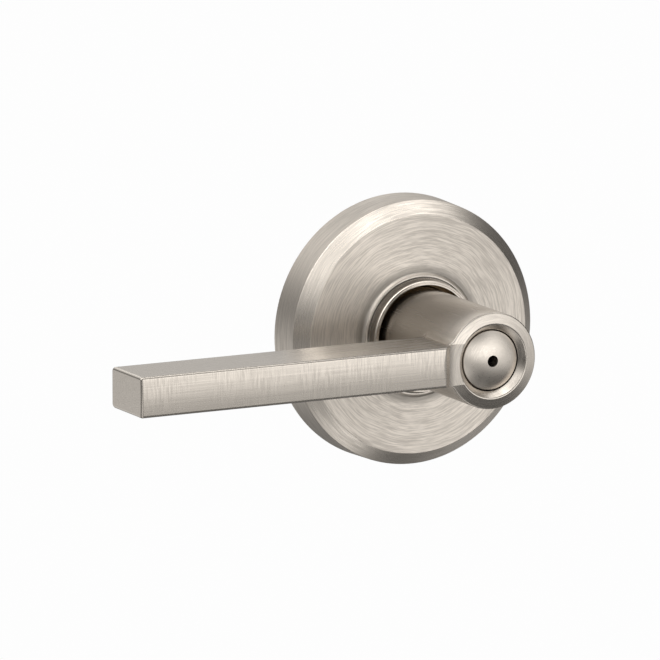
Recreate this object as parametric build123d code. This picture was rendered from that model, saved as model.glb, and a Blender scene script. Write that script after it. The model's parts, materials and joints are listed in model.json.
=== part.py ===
from build123d import *
import os
from math import atan2, cos, degrees, radians, sin, sqrt

# A door lever handle on a round rose: one side of a tubular privacy set, as it comes off the door.
#
# Sizes are in millimetres. Pieces are drawn looking straight at the door: x to the right, y up, and
# z out of the door, with z = 0 on the door's face and the lever's axis at x = y = 0. "Low" and "high"
# are distances along z. save() then turns each piece to the part's own frame, where +Z is up and the
# handle faces -Y.

# Rose: the round cover on the door
ROSE_R = 35.0
ROSE_WALL_TOP_R = 34.7
ROSE_WALL_TOP = 9.7
ROSE_FACE_R = 31.3
ROSE_FACE = 13.2
ROSE_SHEET = 1.2
ROSE_EDGE_ROUND = 0.3

# Raised lip round the rose's centre hole, and the collar that stands in it
LIP_FOOT_R = 17.3
LIP_R = 15.85
LIP_TOP = 14.2
LIP_HOLE_R = 15.3
COLLAR_FOOT_R = 15.2
COLLAR_TOP_R = 14.6
COLLAR_TOP = 17.0
COLLAR_BORE_R = 14.05
COLLAR_FLANGE_R = 19.0
LINER_BORE_R = 13.5

# Lever: round shank with a square-edged bar
SHANK_R = 12.5
SHANK_BACK = 7.0
RING_EDGE = 53.4
CREST_R = 9.6
CREST = 54.1
DISH_R = 8.05
DISH_FOOT = 52.3
DISH_BORE_FLOOR = 43.0
RAMP_START = 15.8
RAMP_FOOT = 10.0
RAMP_SHOULDER_R = 2.4
BAR_TIP = 101.0
BAR_HALF_HEIGHT = 5.25
BAR_BACK = 39.5
BAR_FRONT = 56.5
BAR_CROWN = 0.25
BAR_FRONT_ROUND = 0.7
BAR_BACK_ROUND = 1.2
BAR_BLEND_R = 3.0
RING_EDGE_ROUND = 0.35
CREST_ROUND = 0.4
SET_SCREW_HEIGHT = 25.0

# Push disc in the finger dish, with its stem
DISC_R = 7.73
DISC_BACK = 49.5
DISC_RIM = 52.0
DISC_DOME = 53.9
PINHOLE_R = 1.5
STEM_R = 3.3
STEM_THIN_R = 2.4
STEM_STEP = 36.0
STEM_FRONT = 51.5
STEM_BACK = 1.0
STEM_CLIP = 38.45
STEM_CLIP_THICK = 1.0
STEM_GROOVE_R = 2.5
PUSH_SPRING_R = 5.0
PUSH_SPRING_WIRE_R = 0.4

# Sleeve that carries the lever, and the spindle that turns the latch
SLEEVE_R = 9.0
SLEEVE_BORE_R = 7.0
SLEEVE_FRONT = 35.0
SLEEVE_BACK = -7.0
SLEEVE_END_WALL = 5.0
SPINDLE_SIDE = 8.0
SPINDLE_FRONT = 3.0
SPINDLE_BACK = -45.0
SPINDLE_BORE_R = 2.5
SPINDLE_SHOULDER = -22.0
SPINDLE_PIN_R = 1.0
SPINDLE_PIN_HEIGHT = -4.5
RELEASE_PIN_R = 1.42
RELEASE_PIN_FRONT = 49.8
RELEASE_COLLAR = -8.0
RELEASE_COLLAR_DEPTH = 2.0
RELEASE_SPRING_R = 1.96
RELEASE_SPRING_WIRE_R = 0.35

# Mounting plate, bush and spring housing, all hidden under the rose
PLATE_R = 32.5
PLATE_FRONT = 2.0
HOUSING_R = 26.0
HOUSING_SHEET = 1.2
HOUSING_FRONT = 11.0
BUSH_R = 14.0
BUSH_BACK = 7.2
BUSH_FRONT = 12.1
BUSH_FLANGE_R = 16.4
CAM_LOW = 3.0
CAM_HIGH = 5.6
CAM_HUB_R = 14.0
LUG_HIGH = 4.6
LUG_R = 23.0
LUG_HALF_WIDTH = 2.5
SPRING_R = 20.0
SPRING_WIRE_R = 0.7
STOP_PIN_R = 1.5
STOP_PIN_CIRCLE_R = 20.5
LEVER_TURN = 50.0
BOLT_SPACING = 38.0
POST_R = 3.5
POST_BACK = -18.0
POST_THREAD_R = 1.65
SCREW_CIRCLE_R = 28.4
SCREW_HOLE_R = 1.5
RIVET_HOLE_R = 1.0
EAR_HALF_WIDTH = 3.0
SCREW_ANGLES = (30, 150, 270)
CLIP_ANGLES = (90, 210, 330)

# Clearances
RUNNING = 0.05
SEATED = 0.02


def turned(*outline):
    """Turn an outline of (radius, height) points about the lever's axis."""
    points = [(radius, 0, height) for radius, height in outline]
    return revolve(make_face(Polyline(*points, close=True)), Axis.Z)


def turned_wire(*curves):
    """Turn an outline of joined curves, drawn in the plane y = 0, about the lever's axis."""
    return revolve(make_face(Wire([edge for curve in curves for edge in curve.edges()])), Axis.Z)


def ring(inner, outer, low, high):
    return turned((inner, low), (outer, low), (outer, high), (inner, high))


def rod(radius, low, high, x=0, y=0):
    return Pos(x, y, (low + high) / 2) * Cylinder(radius, high - low)


def block(x_range, y_range, z_range):
    ranges = (x_range, y_range, z_range)
    middle = [(low + high) / 2 for low, high in ranges]
    return Pos(*middle) * Box(*[high - low for low, high in ranges])


def around(radius, angle):
    """The x and y of a point on a circle about the lever's axis, at an angle in degrees."""
    return radius * cos(radians(angle)), radius * sin(radians(angle))


def arcs_at(solid, height):
    """The edges of a solid that are arcs about the lever's axis at one height."""
    circles = solid.edges().filter_by(GeomType.CIRCLE)
    return [edge for edge in circles if abs(edge.arc_center.Z - height) < 0.001]


def coil(radius, wire_r, low, high, turns, start=0):
    """A round wire wound between two heights, which are those of the wire's centre line."""
    helix = Helix((high - low) / turns, high - low, radius)
    section = Plane(helix @ 0, z_dir=helix % 0) * Circle(wire_r)
    return Pos(0, 0, low) * Rot(0, 0, start) * sweep(section, path=helix)


def rose_cover():
    """Bevelled round cover with a lip drawn up round its centre hole."""
    outside = turned(
        (0, 0),
        (ROSE_R, 0),
        (ROSE_WALL_TOP_R, ROSE_WALL_TOP),
        (ROSE_FACE_R, ROSE_FACE),
        (0, ROSE_FACE),
    )
    corners = outside.edges().filter_by(GeomType.CIRCLE).sort_by(Axis.Z)[1:]
    outside = fillet(corners, ROSE_EDGE_ROUND)
    inside = turned(
        (0, -1),
        (ROSE_R - ROSE_SHEET, -1),
        (ROSE_WALL_TOP_R - ROSE_SHEET, ROSE_WALL_TOP - ROSE_SHEET / 2),
        (ROSE_FACE_R - ROSE_SHEET / 2, ROSE_FACE - ROSE_SHEET),
        (0, ROSE_FACE - ROSE_SHEET),
    )
    cove_height = LIP_TOP - 0.35
    lip_side = ThreePointArc(
        (LIP_FOOT_R, 0, ROSE_FACE),
        (LIP_R + 0.35, 0, ROSE_FACE + 0.18),
        (LIP_R, 0, cove_height),
    )
    lip_top = Polyline(
        (LIP_R, 0, cove_height),
        (LIP_R - 0.1, 0, LIP_TOP - 0.08),
        (LIP_R - 0.25, 0, LIP_TOP),
        (LIP_HOLE_R, 0, LIP_TOP),
        (LIP_HOLE_R, 0, ROSE_FACE - 0.5),
        (LIP_FOOT_R, 0, ROSE_FACE - 0.5),
        (LIP_FOOT_R, 0, ROSE_FACE),
    )
    lip = turned_wire(lip_side, lip_top)
    return outside - inside + lip - rod(LIP_HOLE_R, 0, COLLAR_TOP)


def rose_collar():
    """Neck that stands in the rose's lip, with a flange under the rose's face."""
    under_face = ROSE_FACE - ROSE_SHEET
    return turned(
        (COLLAR_BORE_R, HOUSING_FRONT),
        (COLLAR_FLANGE_R, HOUSING_FRONT),
        (COLLAR_FLANGE_R, under_face),
        (COLLAR_FOOT_R, under_face),
        (COLLAR_FOOT_R, LIP_TOP + 0.2),
        (COLLAR_FOOT_R - 0.15, LIP_TOP + 0.3),
        (COLLAR_TOP_R, COLLAR_TOP - 0.2),
        (COLLAR_TOP_R - 0.15, COLLAR_TOP),
        (COLLAR_BORE_R, COLLAR_TOP),
    )


def collar_liner():
    return turned(
        (LINER_BORE_R, BUSH_FRONT),
        (COLLAR_BORE_R - SEATED, BUSH_FRONT),
        (COLLAR_BORE_R - SEATED, COLLAR_TOP - 0.1),
        (COLLAR_BORE_R - 0.12, COLLAR_TOP),
        (LINER_BORE_R + 0.1, COLLAR_TOP),
        (LINER_BORE_R, COLLAR_TOP - 0.1),
    )


def mounting_plate():
    """Round plate on the door, holed for the sleeve, posts, stop pins, screws and rivets."""
    plate = ring(SLEEVE_R + RUNNING, PLATE_R, 0, PLATE_FRONT)
    for side in (-1, 1):
        plate -= rod(POST_R + SEATED, -1, PLATE_FRONT + 1, x=side * BOLT_SPACING / 2)
    for angle in stop_pin_angles():
        plate -= rod(STOP_PIN_R, -1, PLATE_FRONT + 1, *around(STOP_PIN_CIRCLE_R, angle))
    for angle in SCREW_ANGLES:
        plate -= rod(SCREW_HOLE_R, -1, PLATE_FRONT + 1, *around(SCREW_CIRCLE_R, angle))
    for angle in CLIP_ANGLES:
        plate -= rod(RIVET_HOLE_R, -1, PLATE_FRONT + 1, *around(SCREW_CIRCLE_R, angle))
    return plate


def through_bolt_posts():
    """Two posts, drilled and threaded from the back, riveted over on the plate's front."""
    posts = []
    for side in (-1, 1):
        x = side * BOLT_SPACING / 2
        post = rod(POST_R, POST_BACK, PLATE_FRONT, x=x)
        post += rod(POST_R + 0.8, PLATE_FRONT, PLATE_FRONT + 0.9, x=x)
        posts.append(post - rod(POST_THREAD_R, POST_BACK - 1, POST_BACK + 14, x=x))
    return posts


def stop_pin_angles():
    """Where the two pins stand so that the lower lug meets them just past the lever's turn."""
    contact = degrees((LUG_HALF_WIDTH + STOP_PIN_R) / STOP_PIN_CIRCLE_R)
    swing = LEVER_TURN + contact + 1.0
    return -90 - swing, -90 + swing


def stop_pins():
    return [
        rod(STOP_PIN_R, 0, LUG_HIGH + 0.4, *around(STOP_PIN_CIRCLE_R, angle))
        for angle in stop_pin_angles()
    ]


def spring_housing():
    """Round box for the return spring, with three ears and a rib that anchors the spring's legs."""
    inside_r = HOUSING_R - HOUSING_SHEET
    housing = rod(HOUSING_R, PLATE_FRONT, HOUSING_FRONT)
    ear_top = PLATE_FRONT + HOUSING_SHEET
    for angle in SCREW_ANGLES:
        arm = block((0, SCREW_CIRCLE_R), (-EAR_HALF_WIDTH, EAR_HALF_WIDTH), (PLATE_FRONT, ear_top))
        housing += Rot(0, 0, angle) * arm
        housing += rod(EAR_HALF_WIDTH, PLATE_FRONT, ear_top, *around(SCREW_CIRCLE_R, angle))
        housing -= rod(SCREW_HOLE_R, PLATE_FRONT, ear_top, *around(SCREW_CIRCLE_R, angle))
    housing -= rod(inside_r, PLATE_FRONT - 1, HOUSING_FRONT - HOUSING_SHEET)
    rib = block((-2.5, 2.5), (LUG_R + 0.4, inside_r + 0.5), (5.2, HOUSING_FRONT - HOUSING_SHEET))
    return housing + rib - rod(BUSH_R, 0, HOUSING_FRONT + 1)


def housing_screws():
    """Pan-head screws with a cross recess."""
    screws = []
    seat = PLATE_FRONT + HOUSING_SHEET
    for angle in SCREW_ANGLES:
        x, y = around(SCREW_CIRCLE_R, angle)
        screw = rod(SCREW_HOLE_R - SEATED, 0.2, seat, x, y)
        screw += Pos(x, y, seat) * turned((0, 0), (2.3, 0), (2.3, 0.9), (1.7, 1.6), (0, 1.6))
        recess = Box(2.6, 0.6, 1.6) + Box(0.6, 2.6, 1.6)
        screws.append(screw - Pos(x, y, seat + 1.6) * recess)
    return screws


def rose_snap_clips():
    """Three sprung strips that grip the inside of the rose's wall."""
    clips = []
    for angle in CLIP_ANGLES:
        outline = Polyline(
            (26.6, 0, 2.0),
            (33.1, 0, 2.0),
            (33.3, 0, 6.2),
            (32.4, 0, 8.4),
            (31.8, 0, 8.2),
            (32.6, 0, 6.0),
            (32.4, 0, 2.6),
            (26.6, 0, 2.6),
            close=True,
        )
        clip = extrude(make_face(outline), 4, both=True)
        clip -= rod(RIVET_HOLE_R, 0, 4, x=SCREW_CIRCLE_R)
        clips.append(Rot(0, 0, angle) * clip)
    return clips


def clip_rivets():
    """One domed rivet through each snap clip."""
    shaft_r = RIVET_HOLE_R - SEATED
    rivet = turned((0, 0.1), (shaft_r, 0.1), (shaft_r, 2.6), (1.7, 2.6), (1.3, 3.3), (0.6, 3.6), (0, 3.6))
    return [Pos(*around(SCREW_CIRCLE_R, angle), 0) * rivet for angle in CLIP_ANGLES]


def bearing_bush():
    """Plain bush for the shank, with a flange behind the housing's front wall."""
    wall_back = HOUSING_FRONT - HOUSING_SHEET
    bore_r = SHANK_R + RUNNING
    return turned(
        (bore_r, BUSH_BACK),
        (BUSH_R, BUSH_BACK),
        (BUSH_R, wall_back - 1.2),
        (BUSH_FLANGE_R, wall_back - 1.2),
        (BUSH_FLANGE_R, wall_back),
        (BUSH_R, wall_back),
        (BUSH_R, BUSH_FRONT),
        (bore_r + 0.3, BUSH_FRONT),
        (bore_r, BUSH_FRONT - 0.3),
    )


def thrust_washer():
    return ring(SLEEVE_R + RUNNING, 13.5, PLATE_FRONT, CAM_LOW - 0.15)


def lever_return_spring():
    """Torsion spring whose two legs stand either side of the cam's tab and the housing's rib."""
    low = 6.0
    high = 8.95
    leg_x = LUG_HALF_WIDTH + 0.3 + SPRING_WIRE_R
    leg_y = sqrt(SPRING_R**2 - leg_x**2)
    lead = degrees(leg_x / SPRING_R)
    turns = 2 - 2 * lead / 360
    over = 2.0
    spring = coil(
        SPRING_R,
        SPRING_WIRE_R,
        low,
        high,
        turns + 2 * over / 360,
        start=90 + lead - over,
    )
    leg_end = LUG_R + 1.2
    for x, height in ((-leg_x, low), (leg_x, high)):
        leg = Cylinder(SPRING_WIRE_R - 0.05, leg_end - leg_y)
        spring += Pos(x, (leg_end + leg_y) / 2, height) * Rot(90, 0, 0) * leg
    return spring


def drive_cam():
    """Cam on the sleeve: the upper lug's tab winds the spring, the lower lug meets the stop pins."""
    width = (-LUG_HALF_WIDTH, LUG_HALF_WIDTH)
    cam = rod(CAM_HUB_R, CAM_LOW, CAM_HIGH)
    cam += block(width, (0, LUG_R), (CAM_LOW, LUG_HIGH))
    cam += block(width, (LUG_R - 1.5, LUG_R), (CAM_LOW, 9.3))
    cam += block(width, (-LUG_R + 0.6, 0), (CAM_LOW, LUG_HIGH))
    return cam - rod(SLEEVE_R + SEATED, CAM_LOW - 1, CAM_HIGH + 1)


def retaining_ring():
    """Open snap ring in the sleeve's groove, in front of the cam."""
    snap_ring = ring(SLEEVE_R - 0.65, 11.4, CAM_HIGH + 0.05, CAM_HIGH + 1.05)
    return snap_ring - block((-1.6, 1.6), (-13, 0), (CAM_HIGH, CAM_HIGH + 2))


def lever_sleeve():
    """Steel tube with a square-holed end wall for the spindle and a groove for the snap ring."""
    sleeve = rod(SLEEVE_R, SLEEVE_BACK, SLEEVE_FRONT)
    sleeve -= rod(SLEEVE_BORE_R, SLEEVE_BACK + SLEEVE_END_WALL, SLEEVE_FRONT + 1)
    sleeve -= ring(SLEEVE_R - 0.7, SLEEVE_R + 1, CAM_HIGH, CAM_HIGH + 1.1)
    square = SPINDLE_SIDE / 2 + SEATED
    sleeve -= block((-square, square), (-square, square), (SLEEVE_BACK - 1, 0))
    sleeve -= Pos(0, 0, SPINDLE_PIN_HEIGHT) * Rot(0, 90, 0) * Cylinder(SPINDLE_PIN_R, 20)
    dimple = Pos(0, -SLEEVE_R, SET_SCREW_HEIGHT) * Rot(90, 0, 0) * Cylinder(2.6, 1.2)
    return sleeve - dimple


def lever_set_screw():
    """Grub screw in the shank's underside, with a hexagon socket."""
    tip = 8.5
    head = 12.1
    socket_depth = 2.2
    screw = Pos(0, -(tip + head) / 2, SET_SCREW_HEIGHT) * Rot(90, 0, 0) * Cylinder(2.48, head - tip)
    socket = extrude(RegularPolygon(1.45, 6), socket_depth)
    return screw - Pos(0, socket_depth - head, SET_SCREW_HEIGHT) * Rot(90, 0, 0) * socket


def spindle():
    """Square bar, bored for the stem and the release pin."""
    half = SPINDLE_SIDE / 2
    bar = block((-half, half), (-half, half), (SPINDLE_BACK, SPINDLE_FRONT))
    bar = chamfer(bar.edges().filter_by(Axis.Z), 0.5)
    bar -= rod(SPINDLE_BORE_R, SPINDLE_SHOULDER, SPINDLE_FRONT + 1)
    bar -= rod(PINHOLE_R, SPINDLE_BACK - 1, SPINDLE_SHOULDER)
    return bar - Pos(0, 0, SPINDLE_PIN_HEIGHT) * Rot(0, 90, 0) * Cylinder(SPINDLE_PIN_R, 20)


def spindle_pins():
    """Two short pins through the sleeve's end wall that hold the spindle and stop the release pin."""
    inner = 1.75
    outer = 8.6
    pins = []
    for side in (-1, 1):
        pin = Rot(0, 90, 0) * Cylinder(SPINDLE_PIN_R - SEATED, outer - inner)
        pins.append(Pos(side * (outer + inner) / 2, 0, SPINDLE_PIN_HEIGHT) * pin)
    return pins


def lever_blank():
    """Shank and bar joined by a soft blend, with their fronts left long."""
    long_front = BAR_FRONT + 4
    shank = rod(SHANK_R, SHANK_BACK, long_front)
    bar = block((-BAR_TIP, 0), (-BAR_HALF_HEIGHT, BAR_HALF_HEIGHT), (BAR_BACK, long_front))
    back_edges = bar.edges().filter_by(Axis.X).group_by(Axis.Z)[0]
    bar = fillet(back_edges, BAR_BACK_ROUND)
    blank = shank + bar
    joint_x = -sqrt(SHANK_R**2 - BAR_HALF_HEIGHT**2)
    loop = [
        edge
        for edge in blank.edges()
        if joint_x - 1.2 < edge.center().X < joint_x + 0.2 and edge.center().Z > BAR_BACK - 0.5
        and edge.center().Z < long_front - 0.5
    ]
    return fillet(loop, BAR_BLEND_R)


def ramp_waste(long_front):
    """What is cut away in front of the S-curve that leads from the bar's front down to the dish."""
    top = BAR_FRONT + 0.03
    run = RAMP_START - RAMP_FOOT
    steepest = 2 * atan2(top - CREST, run)
    foot_r = run / sin(steepest) - RAMP_SHOULDER_R

    def shoulder(angle):
        return -RAMP_START + RAMP_SHOULDER_R * sin(angle), 0, top - RAMP_SHOULDER_R * (1 - cos(angle))

    def foot(angle):
        return -RAMP_FOOT - foot_r * sin(angle), 0, CREST + foot_r * (1 - cos(angle))

    shoulder_arc = ThreePointArc(shoulder(0), shoulder(steepest / 2), shoulder(steepest))
    foot_arc = ThreePointArc(foot(steepest), foot(steepest / 2), foot(0))
    rest = Polyline(foot(0), (1, 0, CREST), (1, 0, long_front), (-RAMP_START, 0, long_front), shoulder(0))
    outline = Wire([*shoulder_arc.edges(), *foot_arc.edges(), *rest.edges()])
    return extrude(Face(outline), BAR_HALF_HEIGHT, dir=(0, 1, 0), both=True)


def lever_handle():
    """One casting: round hub with a finger dish, and a bar with a crowned front that ramps into it."""
    long_front = BAR_FRONT + 5
    reach = 18.0
    slope = (CREST - RING_EDGE) / (SHANK_R - CREST_R)
    bar_zone = (-BAR_HALF_HEIGHT, BAR_HALF_HEIGHT)
    ring_waste = turned(
        (0, CREST),
        (CREST_R, CREST),
        (reach, CREST - slope * (reach - CREST_R)),
        (reach, long_front),
        (0, long_front),
    )
    ring_waste -= block((-reach - 1, 0), bar_zone, (RING_EDGE - 4, long_front))
    dish_waste = turned((0, DISH_FOOT), (DISH_R, DISH_FOOT), (CREST_R, CREST), (0, CREST))
    crown_r = (BAR_HALF_HEIGHT**2 + BAR_CROWN**2) / (2 * BAR_CROWN)
    crown = Pos(-BAR_TIP / 2, 0, BAR_FRONT - crown_r) * Rot(0, 90, 0) * Cylinder(crown_r, BAR_TIP + 4)
    bar_waste = block((-BAR_TIP - 1, 0), (-8, 8), (BAR_FRONT - 2 * BAR_CROWN, long_front)) - crown
    lever = lever_blank() - ring_waste - ramp_waste(long_front) - bar_waste - dish_waste

    tip_edges = [edge for edge in lever.edges() if edge.center().X < -BAR_TIP + 0.01]
    front_edges = [
        edge
        for edge in lever.edges().filter_by(Axis.X)
        if abs(edge.center().Z - BAR_FRONT + BAR_CROWN) < 0.01
    ]
    lever = fillet(tip_edges + front_edges, BAR_FRONT_ROUND)
    lever = fillet(arcs_at(lever, RING_EDGE), RING_EDGE_ROUND)
    lever = fillet(arcs_at(lever, CREST), CREST_ROUND)

    lever -= rod(DISH_R, DISH_BORE_FLOOR, DISH_FOOT + 0.01)
    lever -= rod(SLEEVE_R + SEATED, SHANK_BACK - 1, DISH_BORE_FLOOR - 3)
    lever -= rod(STEM_R + RUNNING, DISH_BORE_FLOOR - 4, DISH_BORE_FLOOR + 1)
    return lever - Pos(0, -10.5, SET_SCREW_HEIGHT) * Rot(90, 0, 0) * Cylinder(2.5, 5)


def push_disc():
    """Domed disc with a small hole through the middle and a socket for its stem."""
    rise = DISC_DOME - DISC_RIM - 0.3
    radius = (rise**2 + DISC_R**2) / (2 * rise)
    half_way = DISC_R / 2
    dome_half = DISC_DOME - radius + sqrt(radius**2 - half_way**2)
    top = ThreePointArc(
        (0, 0, DISC_DOME),
        (half_way, 0, dome_half),
        (DISC_R - 0.12, 0, DISC_RIM + 0.33),
    )
    side = Polyline(
        (DISC_R - 0.12, 0, DISC_RIM + 0.33),
        (DISC_R, 0, DISC_RIM + 0.15),
        (DISC_R, 0, DISC_BACK),
        (0, 0, DISC_BACK),
        (0, 0, DISC_DOME),
    )
    disc = turned_wire(top, side)
    disc -= rod(STEM_R + SEATED, DISC_BACK - 1, STEM_FRONT)
    return disc - rod(PINHOLE_R, STEM_FRONT - 1, DISC_DOME + 1)


def push_stem():
    """Stepped tube behind the disc, with a groove for its clip."""
    stem = rod(STEM_R, STEM_STEP, STEM_FRONT) + rod(STEM_THIN_R, STEM_BACK, STEM_STEP)
    stem -= ring(STEM_GROOVE_R, STEM_R + 1, STEM_CLIP - 0.05, STEM_CLIP + STEM_CLIP_THICK + 0.05)
    return stem - rod(PINHOLE_R, STEM_BACK - 1, STEM_FRONT + 1)


def push_stem_clip():
    """Open clip that stops the stem from coming out of the dish."""
    clip = ring(STEM_GROOVE_R + SEATED, 5.4, STEM_CLIP, STEM_CLIP + STEM_CLIP_THICK)
    return clip - block((-1.8, 1.8), (-6, 0), (STEM_CLIP - 1, STEM_CLIP + 2))


def push_return_spring():
    end_gap = PUSH_SPRING_WIRE_R + 0.05
    return coil(PUSH_SPRING_R, PUSH_SPRING_WIRE_R, DISH_BORE_FLOOR + end_gap, DISC_BACK - end_gap, 4)


def release_pin():
    """Thin pin behind the small hole, with a collar for its spring."""
    back = SPINDLE_BACK + 0.5
    point = 0.4
    collar_r = SPINDLE_BORE_R - 0.08
    collar_front = RELEASE_COLLAR + RELEASE_COLLAR_DEPTH
    return turned(
        (0, back),
        (RELEASE_PIN_R - point, back),
        (RELEASE_PIN_R, back + point),
        (RELEASE_PIN_R, RELEASE_COLLAR),
        (collar_r, RELEASE_COLLAR),
        (collar_r, collar_front),
        (RELEASE_PIN_R, collar_front),
        (RELEASE_PIN_R, RELEASE_PIN_FRONT - point),
        (RELEASE_PIN_R - point, RELEASE_PIN_FRONT),
        (0, RELEASE_PIN_FRONT),
    )


def release_spring():
    end_gap = RELEASE_SPRING_WIRE_R + 0.05
    low = SPINDLE_SHOULDER + end_gap
    return coil(RELEASE_SPRING_R, RELEASE_SPRING_WIRE_R, low, RELEASE_COLLAR - end_gap, 8)


def save(name, *solids):
    """Turn a piece from the drawing's axes to the part's, and write it."""
    upright = [Rot(90, 0, 0) * solid for solid in solids]
    whole = upright[0] if len(upright) == 1 else Compound(children=upright)
    export_step(whole, f"parts/{name}.step")


PIECES = (
    rose_cover,
    rose_collar,
    collar_liner,
    mounting_plate,
    through_bolt_posts,
    stop_pins,
    spring_housing,
    housing_screws,
    rose_snap_clips,
    clip_rivets,
    bearing_bush,
    thrust_washer,
    lever_return_spring,
    drive_cam,
    retaining_ring,
    lever_sleeve,
    lever_set_screw,
    spindle,
    spindle_pins,
    lever_handle,
    push_disc,
    push_stem,
    push_stem_clip,
    push_return_spring,
    release_pin,
    release_spring,
)

os.makedirs("parts", exist_ok=True)
for piece in PIECES:
    made = piece()
    save(piece.__name__, *(made if isinstance(made, list) else [made]))
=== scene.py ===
import json
from math import cos, pi, radians, sin

import bmesh
import bpy
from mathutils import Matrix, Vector


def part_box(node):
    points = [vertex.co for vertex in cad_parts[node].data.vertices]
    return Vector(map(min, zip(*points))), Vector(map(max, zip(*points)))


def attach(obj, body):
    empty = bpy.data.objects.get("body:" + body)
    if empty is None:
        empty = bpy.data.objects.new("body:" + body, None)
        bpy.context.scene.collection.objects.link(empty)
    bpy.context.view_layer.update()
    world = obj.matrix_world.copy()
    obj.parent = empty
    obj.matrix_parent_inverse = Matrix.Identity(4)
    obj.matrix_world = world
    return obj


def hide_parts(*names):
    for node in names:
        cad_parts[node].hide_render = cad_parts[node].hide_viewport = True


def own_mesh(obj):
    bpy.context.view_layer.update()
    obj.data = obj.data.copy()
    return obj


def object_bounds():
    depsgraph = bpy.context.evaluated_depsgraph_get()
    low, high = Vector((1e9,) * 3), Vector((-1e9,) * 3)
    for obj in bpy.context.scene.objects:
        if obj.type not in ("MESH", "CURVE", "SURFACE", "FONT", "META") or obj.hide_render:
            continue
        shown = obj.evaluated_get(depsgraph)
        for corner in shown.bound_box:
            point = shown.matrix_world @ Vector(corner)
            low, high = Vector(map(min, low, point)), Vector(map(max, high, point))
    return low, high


# The outside half of a door lever set. Lengths are in metres. The lever's axis is the Y axis, the
# door's face is at y = 0, the front is towards -Y, and the bar points towards -X.

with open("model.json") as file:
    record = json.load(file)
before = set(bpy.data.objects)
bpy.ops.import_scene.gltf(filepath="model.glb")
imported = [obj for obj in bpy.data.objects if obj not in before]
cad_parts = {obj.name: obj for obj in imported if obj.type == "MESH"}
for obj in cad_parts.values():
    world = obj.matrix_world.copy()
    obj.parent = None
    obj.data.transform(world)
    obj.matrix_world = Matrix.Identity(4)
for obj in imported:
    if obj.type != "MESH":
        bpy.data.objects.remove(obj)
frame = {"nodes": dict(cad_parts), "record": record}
cad_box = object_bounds()
nodes = frame["nodes"]

MM = 0.001

# Measures of the CAD model that the finishes keep to
ROSE_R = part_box("rose_cover")[1].x
COLLAR_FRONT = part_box("rose_collar")[0].y
LEVER_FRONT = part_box("lever_handle")[0].y
HUB_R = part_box("lever_handle")[1].x

# Camera: a long lens, to the left of straight ahead and a little above the lever (in degrees), aimed
# a little to the left of and below the point where the lever's axis meets the door
CAMERA_YAW = 27.26
CAMERA_RISE = 10.91
CAMERA_DISTANCE = 2.565
CAMERA_LENS = 539.5
SENSOR_WIDTH = 36.0
AIM_LEFT = 16.8 * MM
AIM_DOWN = 1.1 * MM

# Background and floor: how bright their white is, and where the floor lies
WHITE = 0.985
PURE_WHITE = (1.0, 1.0, 1.0, 1.0)
FLOOR_DROP = 0.30
FLOOR_SIZE = 9.0


# ---------------------------------------------------------------- node helpers

def add_node(tree, kind, inputs=None, **settings):
    """Add a shader node; an input is a plain value, or a socket to link from."""
    made = tree.nodes.new(kind)
    for name, value in settings.items():
        setattr(made, name, value)
    for name, value in (inputs or {}).items():
        if isinstance(value, bpy.types.NodeSocket):
            tree.links.new(value, made.inputs[name])
        else:
            made.inputs[name].default_value = value
    return made


def calc(tree, operation, *values):
    return add_node(tree, "ShaderNodeMath", dict(enumerate(values)), operation=operation).outputs[0]


def toned(color, factor):
    return tuple(min(1.0, channel * factor) for channel in color)


def tint(color, factor):
    """A toned colour with full opacity, as a colour socket takes it."""
    return (*toned(color, factor), 1.0)


# ---------------------------------------------------------------- surface finishes

# The shader's highlights stretch along its tangent, and a quarter turn lays them across the brushing
QUARTER_TURN = 0.25

# Added to the squared distance from the axis, so that nothing is divided by zero
AXIS_GUARD = 1e-8

# The middle of a noise's range, 0 to 1
MIDDLE = 0.5

# Sideways wander of turned lines: how fine it is
WANDER_SCALE = 90.0

# Edges, found by how far a softened normal leans: the lean's cosine on flat ground and on a full edge
EDGE_SAMPLES = 8
LEAN_FLAT = 0.995
LEAN_FULL = 0.90

# Painted highlight: edges are painted brighter, and made smoother: how much of each shows, and its
# factor
EDGE_HIGHLIGHT_SHARE = 0.6
EDGE_HIGHLIGHT_TONE = 1.25
EDGE_SMOOTH_SHARE = 0.5
EDGE_ROUGHNESS_FACTOR = 0.6

# Painted shade: a zone's colour is darker, where the metal would mirror dark surroundings
# that the studio doesn't have
PAINTED_SHADE_TONE = 0.45


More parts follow.
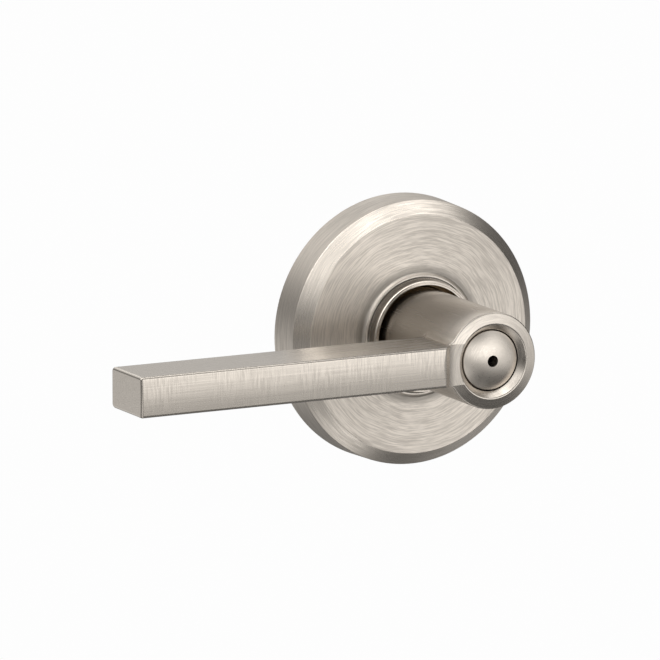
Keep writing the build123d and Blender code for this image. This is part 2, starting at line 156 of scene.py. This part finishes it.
class Finish:
    """A surface finish: a Principled shader whose colour, roughness and bump come from nodes."""

    def __init__(self, name, color, roughness, metallic=1.0, anisotropy=0.0):
        self.material = bpy.data.materials.new(name)
        self.material.use_nodes = True
        self.tree = self.material.node_tree
        self.tree.nodes.clear()
        constants = {"Metallic": metallic, "Anisotropic": anisotropy}
        if anisotropy:
            constants["Anisotropic Rotation"] = QUARTER_TURN
        self.shader = self.add("ShaderNodeBsdfPrincipled", constants)
        self.add("ShaderNodeOutputMaterial", {"Surface": self.shader.outputs[0]})
        self.color = color
        self.roughness = roughness
        self.place = self.add("ShaderNodeTexCoord").outputs["Object"]
        self.x, self.y, self.z = self.add("ShaderNodeSeparateXYZ", {0: self.place}).outputs

    def add(self, kind, inputs=None, **settings):
        return add_node(self.tree, kind, inputs, **settings)

    def calc(self, operation, *values):
        return calc(self.tree, operation, *values)

    def times(self, value, *factors):
        for factor in factors:
            value = self.calc("MULTIPLY", value, factor)
        return value

    def at(self, x=0.0, y=0.0, z=0.0):
        return self.add("ShaderNodeCombineXYZ", {0: x, 1: y, 2: z}).outputs[0]

    def scaled(self, x_scale, y_scale, z_scale):
        """The place, scaled along each axis, for a noise that is finer one way than another."""
        return self.at(
            self.times(self.x, x_scale), self.times(self.y, y_scale), self.times(self.z, z_scale)
        )

    def noise(self, place, scale=1.0, detail=2.0, roughness=0.5):
        """A noise value from 0 to 1 at a place."""
        inputs = {"Vector": place, "Scale": scale, "Detail": detail, "Roughness": roughness}
        return self.add("ShaderNodeTexNoise", inputs).outputs["Fac"]

    def ramp(self, value, start, end, low=0.0, high=1.0):
        """From low at the start to high at the end, and held beyond both."""
        inputs = {"Value": value, "From Min": start, "From Max": end, "To Min": low, "To Max": high}
        return self.add("ShaderNodeMapRange", inputs).outputs[0]

    def stretched(self, value, reach):
        """Spread the values within reach of the middle out to the whole of 0 to 1."""
        return self.ramp(value, MIDDLE - reach, MIDDLE + reach)

    def mix(self, first, second, share):
        """A mix of two values, with this share of the second one."""
        made = self.add("ShaderNodeMix", {0: share, 2: first, 3: second}, data_type="FLOAT")
        return made.outputs[0]

    def mix_vectors(self, first, second, share):
        made = self.add("ShaderNodeMix", {0: share, 4: first, 5: second}, data_type="VECTOR")
        return made.outputs[1]

    def mix_colors(self, first, second, share):
        made = self.add("ShaderNodeMix", {0: share, 6: first, 7: second}, data_type="RGBA")
        return made.outputs[2]

    def radius(self):
        """Distance from the lever's axis."""
        squares = self.calc("ADD", self.times(self.x, self.x), self.times(self.z, self.z))
        return self.calc("SQRT", self.calc("ADD", squares, AXIS_GUARD))

    def outward(self):
        """X and Z of the direction away from the lever's axis."""
        radius = self.radius()
        return self.calc("DIVIDE", self.x, radius), self.calc("DIVIDE", self.z, radius)

    def round_axis(self):
        """The direction round the lever's axis."""
        out_x, out_z = self.outward()
        return self.at(out_z, 0.0, self.times(out_x, -1.0))

    def lines_run(self, direction):
        """Say which way the brushing runs, so that highlights stretch across it."""
        turned = self.add("ShaderNodeVectorTransform", {"Vector": direction}, vector_type="VECTOR",
                          convert_from="OBJECT", convert_to="WORLD")
        self.tree.links.new(turned.outputs[0], self.shader.inputs["Tangent"])

    def turned_lines(self, pitch, arc, wander=0.0):
        """Lines round the lever's axis, about a pitch apart and an arc (in radians) long."""
        across = self.calc("ADD", self.radius(), self.y)
        if wander:
            swing = self.noise(self.place, WANDER_SCALE, detail=1.0)
            across = self.calc("MULTIPLY_ADD", swing, wander, across)
        out_x, out_z = self.outward()
        place = self.at(
            self.times(across, 1 / pitch), self.times(out_x, 1 / arc), self.times(out_z, 1 / arc)
        )
        return self.noise(place, detail=2.0, roughness=0.6)

    def edge(self, width):
        """From 0 on flat ground to 1 along an edge."""
        soft = self.add("ShaderNodeBevel", {"Radius": width}, samples=EDGE_SAMPLES).outputs[0]
        true = self.add("ShaderNodeNewGeometry").outputs["Normal"]
        compared = self.add("ShaderNodeVectorMath", {0: soft, 1: true}, operation="DOT_PRODUCT")
        return self.ramp(compared.outputs["Value"], LEAN_FLAT, LEAN_FULL)

    def finish(self, grain, height, color_swing, roughness_swing, bump, painted_edge_highlight=None, painted_shade=None):
        """
        Grain, 0 to 1, swings the colour and the roughness to either side. Bump is the depth, in metres,
        of a height from 0 to 1. The painted edge highlight (brighter and smoother) and the painted
        shade (darker), 0 to 1, say where the surface has either.
        """
        color = self.mix_colors(
            tint(self.color, 1 - color_swing), tint(self.color, 1 + color_swing), share=grain
        )
        swing = self.ramp(grain, 0.0, 1.0, low=roughness_swing, high=-roughness_swing)
        rough = self.calc("ADD", swing, self.roughness)
        # Painted highlight along the edges: a brighter colour there, and a lower roughness
        if painted_edge_highlight is not None:
            bright = self.times(painted_edge_highlight, EDGE_HIGHLIGHT_SHARE)
            smooth = self.times(painted_edge_highlight, EDGE_SMOOTH_SHARE)
            color = self.mix_colors(color, tint(self.color, EDGE_HIGHLIGHT_TONE), share=bright)
            rough = self.mix(rough, self.times(rough, EDGE_ROUGHNESS_FACTOR), share=smooth)
        # Painted shade: the colour is darkened in the zones given
        if painted_shade is not None:
            color = self.mix_colors(color, tint(self.color, PAINTED_SHADE_TONE), share=painted_shade)
        bumped = self.add("ShaderNodeBump", {"Strength": 1.0, "Distance": bump, "Height": height})
        self.tree.links.new(color, self.shader.inputs["Base Color"])
        self.tree.links.new(rough, self.shader.inputs["Roughness"])
        self.tree.links.new(bumped.outputs[0], self.shader.inputs["Normal"])
        return self.material


# ---------------------------------------------------------------- nickel of the rose

NICKEL = (0.71, 0.655, 0.59)

# Each pair is a zone's border: the place where it starts, and the place where it is full. Here they
# are distances from the axis, and places along Y.
BEVEL_FROM_FACE = (ROSE_R - 3.8 * MM, ROSE_R - 3.6 * MM)
BEVEL_FROM_WALL = (-9.5 * MM, -9.8 * MM)
COVE_FROM_FACE = (18.8 * MM, 17.0 * MM)
COVE_FROM_LIP = (15.9 * MM, 16.4 * MM)
WALL_FROM_BEVEL = (-9.7 * MM, -9.4 * MM)

ROSE_TONE = 1.08
FACE_ROUGHNESS = 0.42
BEVEL_ROUGHNESS = 0.32
# How much painted shade darkens the cove round the lip and the side wall
COVE_PAINTED_SHADE = 0.8
WALL_PAINTED_SHADE = 0.3
CLOUD_SCALE = 60.0


def rose_nickel():
    """Arcs all round, smoother on the bevel, and painted shade in the cove round the lip and on the
    wall.
    """
    metal = Finish("rose_brushed_nickel", toned(NICKEL, ROSE_TONE), FACE_ROUGHNESS, anisotropy=0.6)
    metal.lines_run(metal.round_axis())
    long_arcs = metal.turned_lines(pitch=0.30 * MM, arc=0.40, wander=1.8 * MM)
    short_arcs = metal.turned_lines(pitch=0.24 * MM, arc=0.15, wander=1.0 * MM)
    lines = metal.mix(long_arcs, short_arcs, share=0.5)
    cloud = metal.noise(metal.place, CLOUD_SCALE)

    radius = metal.radius()
    on_bevel = metal.times(metal.ramp(radius, *BEVEL_FROM_FACE), metal.ramp(metal.y, *BEVEL_FROM_WALL))
    metal.roughness = metal.mix(FACE_ROUGHNESS, BEVEL_ROUGHNESS, share=on_bevel)
    in_cove = metal.times(metal.ramp(radius, *COVE_FROM_FACE), metal.ramp(radius, *COVE_FROM_LIP))
    on_wall = metal.ramp(metal.y, *WALL_FROM_BEVEL)
    return metal.finish(
        grain=metal.mix(metal.stretched(lines, reach=0.08), cloud, share=0.15),
        height=lines,
        color_swing=0.15,
        roughness_swing=0.06,
        bump=0.008 * MM,
        painted_edge_highlight=metal.edge(0.3 * MM),
        # Painted shade in the cove round the lip, for the mirrored shank and collar, and on the wall
        painted_shade=metal.calc(
            "MAXIMUM", metal.times(in_cove, COVE_PAINTED_SHADE), metal.times(on_wall, WALL_PAINTED_SHADE)
        ),
    )


# ---------------------------------------------------------------- nickel of the lever

# Zone borders again: the bar along X, the shank and the bar's front along Y
BAR_FROM_HUB = (-HUB_R, -HUB_R - 2.0 * MM)
SHANK_FROM_RING = (LEVER_FRONT + 3.1 * MM, LEVER_FRONT + 3.5 * MM)
FRONT_FROM_SIDES = (LEVER_FRONT + 1.1 * MM, LEVER_FRONT + 0.5 * MM)

# Painted shade darkens the shank away from the ring and upwards, and the bar's top towards the hub
SHANK_SHADE_FROM_RING = (LEVER_FRONT + 3.5 * MM, LEVER_FRONT + 8.5 * MM)
SHANK_SHADE_UPWARDS = (6.0 * MM, 11.0 * MM)
SHANK_SHADE_BELOW = 0.45
SHANK_SHADE_ABOVE = 0.75
TOP_FROM_SIDES = (4.7 * MM, 5.2 * MM)
TOP_SHADE_TO_HUB = (-62.0 * MM, -26.0 * MM)
TOP_PAINTED_SHADE = 0.95

# How fine the marks are along X, Y and Z, and on the shank round the axis and along it
BAR_LINES = (35.0, 5200.0, 5200.0)
UPRIGHT_STROKES = (3300.0, 200.0, 260.0)
STROKE_PATCHES = 110.0
STROKES_SHARE = 0.5
STREAKS_ROUND = 45.0
STREAKS_ALONG = 60.0

LEVER_TONE = 0.86


def lever_lines(metal, on_bar, on_shank):
    """Arcs on the ring, faint streaks on the shank, lines on the bar, and strokes on its front."""
    ring_lines = metal.turned_lines(pitch=0.25 * MM, arc=0.4)
    out_x, out_z = metal.outward()
    round_shank = metal.at(
        metal.times(out_x, STREAKS_ROUND),
        metal.times(metal.y, STREAKS_ALONG),
        metal.times(out_z, STREAKS_ROUND),
    )
    streaks = metal.mix(metal.noise(round_shank), MIDDLE, share=0.6)
    hub_lines = metal.mix(ring_lines, streaks, share=on_shank)
    lines = metal.mix(hub_lines, metal.noise(metal.scaled(*BAR_LINES)), share=on_bar)

    strokes = metal.stretched(metal.noise(metal.scaled(*UPRIGHT_STROKES), detail=1.0), reach=0.20)
    patches = metal.stretched(metal.noise(metal.place, STROKE_PATCHES, detail=1.0), reach=0.15)
    on_front = metal.ramp(metal.y, *FRONT_FROM_SIDES)
    return metal.mix(lines, strokes, share=metal.times(patches, on_bar, on_front, STROKES_SHARE))


def lever_painted_shade(metal, on_bar, on_shank):
    # Painted shade on the shank, darker upwards, and on the bar's top, darker towards the hub
    shank = metal.times(
        on_shank,
        metal.ramp(metal.y, *SHANK_SHADE_FROM_RING),
        metal.ramp(metal.z, *SHANK_SHADE_UPWARDS, low=SHANK_SHADE_BELOW, high=SHANK_SHADE_ABOVE),
    )
    bar_top = metal.times(
        on_bar,
        metal.ramp(metal.x, *TOP_SHADE_TO_HUB, high=TOP_PAINTED_SHADE),
        metal.ramp(metal.z, *TOP_FROM_SIDES),
    )
    return metal.calc("MAXIMUM", shank, bar_top)


def lever_nickel():
    metal = Finish("lever_brushed_nickel", toned(NICKEL, LEVER_TONE), roughness=0.26, anisotropy=0.4)
    on_bar = metal.ramp(metal.x, *BAR_FROM_HUB)
    off_bar = metal.calc("SUBTRACT", 1.0, on_bar)
    on_shank = metal.times(off_bar, metal.ramp(metal.y, *SHANK_FROM_RING))

    # A little upwards, so that it isn't square to the bar's tip
    along_bar = metal.at(1.0, 0.0, 0.1)
    along_shank = metal.at(0.0, 1.0, 0.0)
    on_hub_run = metal.mix_vectors(metal.round_axis(), along_shank, share=on_shank)
    metal.lines_run(metal.mix_vectors(on_hub_run, along_bar, share=on_bar))

    lines = lever_lines(metal, on_bar, on_shank)
    return metal.finish(
        grain=metal.stretched(lines, reach=0.20),
        height=lines,
        color_swing=0.11,
        roughness_swing=0.04,
        bump=0.003 * MM,
        painted_edge_highlight=metal.edge(0.3 * MM),
        painted_shade=lever_painted_shade(metal, on_bar, on_shank),
    )


# ---------------------------------------------------------------- the other materials

# The collar's neck gets painted shade, darker than its rim, for the dark surroundings it would
# mirror: a zone border along Y
NECK_FROM_RIM = (COLLAR_FRONT + 0.3 * MM, COLLAR_FRONT + 0.7 * MM)

FINE_MOTTLE = 900.0
SINTERED_MOTTLE = 1800.0
ACETAL_MOTTLE = 700.0
SPECKS_FINER = 6


def turned_nickel(name, roughness, tone=1.0, painted_shade_zone=None):
    """Nickel turned on a lathe, with painted shade in a zone along Y where its border is given."""
    metal = Finish(name, toned(NICKEL, tone), roughness, anisotropy=0.3)
    metal.lines_run(metal.round_axis())
    lines = metal.turned_lines(pitch=0.18 * MM, arc=0.3)
    return metal.finish(
        grain=metal.stretched(lines, reach=0.20),
        height=lines,
        color_swing=0.06,
        roughness_swing=0.05,
        bump=0.003 * MM,
        painted_edge_highlight=metal.edge(0.2 * MM),
        # Painted shade in the given zone along Y
        painted_shade=metal.ramp(metal.y, *painted_shade_zone) if painted_shade_zone else None,
    )


def plain_metal(name, color, roughness, mottle_scale=FINE_MOTTLE):
    metal = Finish(name, color, roughness)
    mottle = metal.noise(metal.place, mottle_scale, detail=3.0)
    specks = metal.noise(metal.place, mottle_scale * SPECKS_FINER)
    return metal.finish(
        grain=metal.mix(metal.stretched(mottle, reach=0.20), specks, share=0.35),
        height=specks,
        color_swing=0.10,
        roughness_swing=0.08,
        bump=0.006 * MM,
        painted_edge_highlight=metal.edge(0.15 * MM),
    )


def acetal():
    plastic = Finish("acetal_natural", (0.80, 0.78, 0.73), roughness=0.45, metallic=0.0)
    mottle = plastic.noise(plastic.place, ACETAL_MOTTLE, detail=3.0)
    return plastic.finish(
        grain=mottle,
        height=mottle,
        color_swing=0.05,
        roughness_swing=0.05,
        bump=0.005 * MM,
    )


MATERIALS = {
    "satin_nickel": turned_nickel("satin_nickel_turned", roughness=0.31),
    "bright_nickel": turned_nickel("bright_nickel_turned", roughness=0.16, tone=1.1),
    "zinc_plated_steel": plain_metal("zinc_plated", (0.62, 0.63, 0.66), roughness=0.34),
    "hardened_steel": plain_metal("hardened_ground", (0.46, 0.45, 0.44), roughness=0.38),
    "spring_steel": plain_metal("spring_oiled", (0.30, 0.29, 0.29), roughness=0.32),
    "sintered_bronze": plain_metal(
        "bronze_sintered", (0.26, 0.18, 0.10), roughness=0.50, mottle_scale=SINTERED_MOTTLE
    ),
    "acetal": acetal(),
    "black_oxide": plain_metal("black_oxide_steel", (0.055, 0.055, 0.06), roughness=0.42),
}
NODE_MATERIALS = {
    "rose_cover": rose_nickel(),
    "lever_handle": lever_nickel(),
    "rose_collar": turned_nickel("collar_nickel_turned", roughness=0.26, painted_shade_zone=NECK_FROM_RIM),
    "release_pin": plain_metal("release_pin_blackened", (0.035, 0.030, 0.025), roughness=0.5),
}


def dress_nodes():
    """Give every CAD node the material of its slot, or its own where it has one."""
    for part in frame["record"]["subparts"]:
        name = part["node"]
        material = NODE_MATERIALS.get(name) or MATERIALS[part["material_slot"]]
        for material_slot in nodes[name].material_slots:
            material_slot.material = material


# ---------------------------------------------------------------- springs as coils

WIRE_SIDES = 10
STEPS_PER_TURN = 32


def coil_mesh(name, radius, wire_r, start, end, turns):
    """A coil round the lever's axis, whose wire's middle goes from start to end along Y."""
    steps = STEPS_PER_TURN * turns
    corners = []
    for step in range(steps + 1):
        angle = 2 * pi * step / STEPS_PER_TURN
        middle = start + (end - start) * step / steps
        for side in range(WIRE_SIDES):
            around = 2 * pi * side / WIRE_SIDES
            reach = radius + wire_r * cos(around)
            corners.append((reach * cos(angle), middle - wire_r * sin(around), reach * sin(angle)))
    last = steps * WIRE_SIDES
    faces = [tuple(range(WIRE_SIDES)), tuple(range(last, last + WIRE_SIDES))]
    for first in range(0, last, WIRE_SIDES):
        for side in range(WIRE_SIDES):
            here = first + side
            beside = first + (side + 1) % WIRE_SIDES
            faces.append((here, beside, beside + WIRE_SIDES, here + WIRE_SIDES))
    mesh = bpy.data.meshes.new(name)
    mesh.from_pydata(corners, [], faces)
    shape = bmesh.new()
    shape.from_mesh(mesh)
    bmesh.ops.recalc_face_normals(shape, faces=shape.faces)
    shape.to_mesh(mesh)
    shape.free()
    mesh.shade_smooth()
    return mesh


def soft_spring(node, wire_r, turns):
    """A CAD spring again, as a coil that is attached to the lever's body."""
    low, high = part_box(node)
    mesh = coil_mesh(node + "_coil", high.x - wire_r, wire_r, high.y - wire_r, low.y + wire_r, turns)
    mesh.materials.append(MATERIALS["spring_steel"])
    piece = bpy.data.objects.new(node + "_coil", mesh)
    bpy.context.scene.collection.objects.link(piece)
    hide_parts(node)
    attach(piece, "lever")
    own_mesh(piece)


def springs():
    soft_spring("push_return_spring", wire_r=0.4 * MM, turns=4)
    soft_spring("release_spring", wire_r=0.35 * MM, turns=8)


# ---------------------------------------------------------------- studio

LIGHT_COLOR = (1.0, 0.99, 0.975, 1.0)
ROOM_LIGHT = 0.08
HALF_TURN = 180.0

# Soft panels round the handle, in degrees. Each stands so far to the right of the front and so far
# above level, and fades out to nothing over its width to either side and its height up and down.
SOFT_PANELS = {
    "front": dict(right=15, above=6, width=62, height=22, strength=2.0),
    "front_low": dict(right=45, above=-12, width=65, height=20, strength=0.72),
    "front_high": dict(right=35, above=28, width=30, height=22, strength=0.7),
    "low_left": dict(right=-35, above=-30, width=40, height=30, strength=1.4),
    "left": dict(right=-90, above=40, width=45, height=50, strength=1.7),
    "high_left": dict(right=-90, above=55, width=65, height=45, strength=1.9),
    "overhead": dict(right=-20, above=85, width=140, height=40, strength=2.7),
    "high_right": dict(right=85, above=70, width=50, height=50, strength=2.1),
    "low_right": dict(right=100, above=-35, width=40, height=40, strength=0.5),
    "high_rear": dict(right=168, above=28, width=70, height=28, strength=1.3),
    "left_rear": dict(right=-150, above=-20, width=90, height=30, strength=0.8),
    "below": dict(right=-20, above=-75, width=115, height=35, strength=1.3),
}


def fade(tree, value, reach):
    """From 1 at zero, smoothly down to 0 at a reach to either side."""
    inputs = {"Value": calc(tree, "ABSOLUTE", value), "From Max": reach, "To Min": 1.0, "To Max": 0.0}
    return add_node(tree, "ShaderNodeMapRange", inputs, interpolation_type="SMOOTHSTEP").outputs[0]


def studio_world():
    """White behind the object; the metal reflects the soft panels."""
    world = bpy.data.worlds.new("studio")
    bpy.context.scene.world = world
    world.use_nodes = True
    tree = world.node_tree
    tree.nodes.clear()
    direction = add_node(tree, "ShaderNodeTexCoord").outputs["Generated"]
    unit = add_node(tree, "ShaderNodeVectorMath", {0: direction}, operation="NORMALIZE").outputs[0]
    x, y, z = add_node(tree, "ShaderNodeSeparateXYZ", {0: unit}).outputs
    right = calc(tree, "DEGREES", calc(tree, "ARCTAN2", x, calc(tree, "MULTIPLY", y, -1.0)))
    above = calc(tree, "DEGREES", calc(tree, "ARCSINE", z))
    level = ROOM_LIGHT
    for panel in SOFT_PANELS.values():
        away = calc(tree, "SUBTRACT", right, panel["right"])
        away = calc(tree, "WRAP", away, HALF_TURN, -HALF_TURN)
        higher = calc(tree, "SUBTRACT", above, panel["above"])
        glow = calc(
            tree, "MULTIPLY", fade(tree, away, panel["width"]), fade(tree, higher, panel["height"])
        )
        level = calc(tree, "MULTIPLY_ADD", glow, panel["strength"], level)
    room = add_node(tree, "ShaderNodeBackground", {"Color": LIGHT_COLOR, "Strength": level})
    white = add_node(tree, "ShaderNodeBackground", {"Color": PURE_WHITE, "Strength": WHITE})
    seen = add_node(tree, "ShaderNodeLightPath").outputs["Is Camera Ray"]
    mixed = add_node(tree, "ShaderNodeMixShader", {0: seen, 1: room.outputs[0], 2: white.outputs[0]})
    add_node(tree, "ShaderNodeOutputWorld", {"Surface": mixed.outputs[0]})


def floor_white():
    """Lit white from above and clear from below, so that views from below see past the floor."""
    material = bpy.data.materials.new("floor_lit_white")
    material.use_nodes = True
    tree = material.node_tree
    tree.nodes.clear()
    lit = add_node(tree, "ShaderNodeEmission", {"Color": PURE_WHITE, "Strength": WHITE})
    clear = add_node(tree, "ShaderNodeBsdfTransparent")
    below = add_node(tree, "ShaderNodeNewGeometry").outputs["Backfacing"]
    shown = add_node(tree, "ShaderNodeMixShader", {0: below, 1: lit.outputs[0], 2: clear.outputs[0]})
    add_node(tree, "ShaderNodeOutputMaterial", {"Surface": shown.outputs[0]})
    return material


def floor():
    """A pale floor below the handle; it is left out of the metal's reflections."""
    half = FLOOR_SIZE / 2
    corners = [(-half, -half, 0), (half, -half, 0), (half, half, 0), (-half, half, 0)]
    mesh = bpy.data.meshes.new("floor")
    mesh.from_pydata(corners, [], [(0, 1, 2, 3)])
    mesh.materials.append(floor_white())
    plane = bpy.data.objects.new("floor", mesh)
    bpy.context.scene.collection.objects.link(plane)
    plane.location.z = cad_box[0][2] - FLOOR_DROP
    plane.visible_glossy = False


def camera():
    yaw = radians(CAMERA_YAW)
    rise = radians(CAMERA_RISE)
    back = Vector((-sin(yaw) * cos(rise), -cos(yaw) * cos(rise), sin(rise)))
    right = Vector((cos(yaw), -sin(yaw), 0.0))
    up = right.cross(-back)
    target = -AIM_LEFT * right - AIM_DOWN * up
    lens = bpy.data.cameras.new("camera")
    lens.lens = CAMERA_LENS
    lens.sensor_width = SENSOR_WIDTH
    eye = bpy.data.objects.new("camera", lens)
    bpy.context.scene.collection.objects.link(eye)
    eye.location = target + CAMERA_DISTANCE * back
    eye.rotation_euler = back.to_track_quat("Z", "Y").to_euler()
    bpy.context.scene.camera = eye


dress_nodes()
springs()
studio_world()
floor()
camera()
bpy.context.scene.view_settings.view_transform = "Standard"
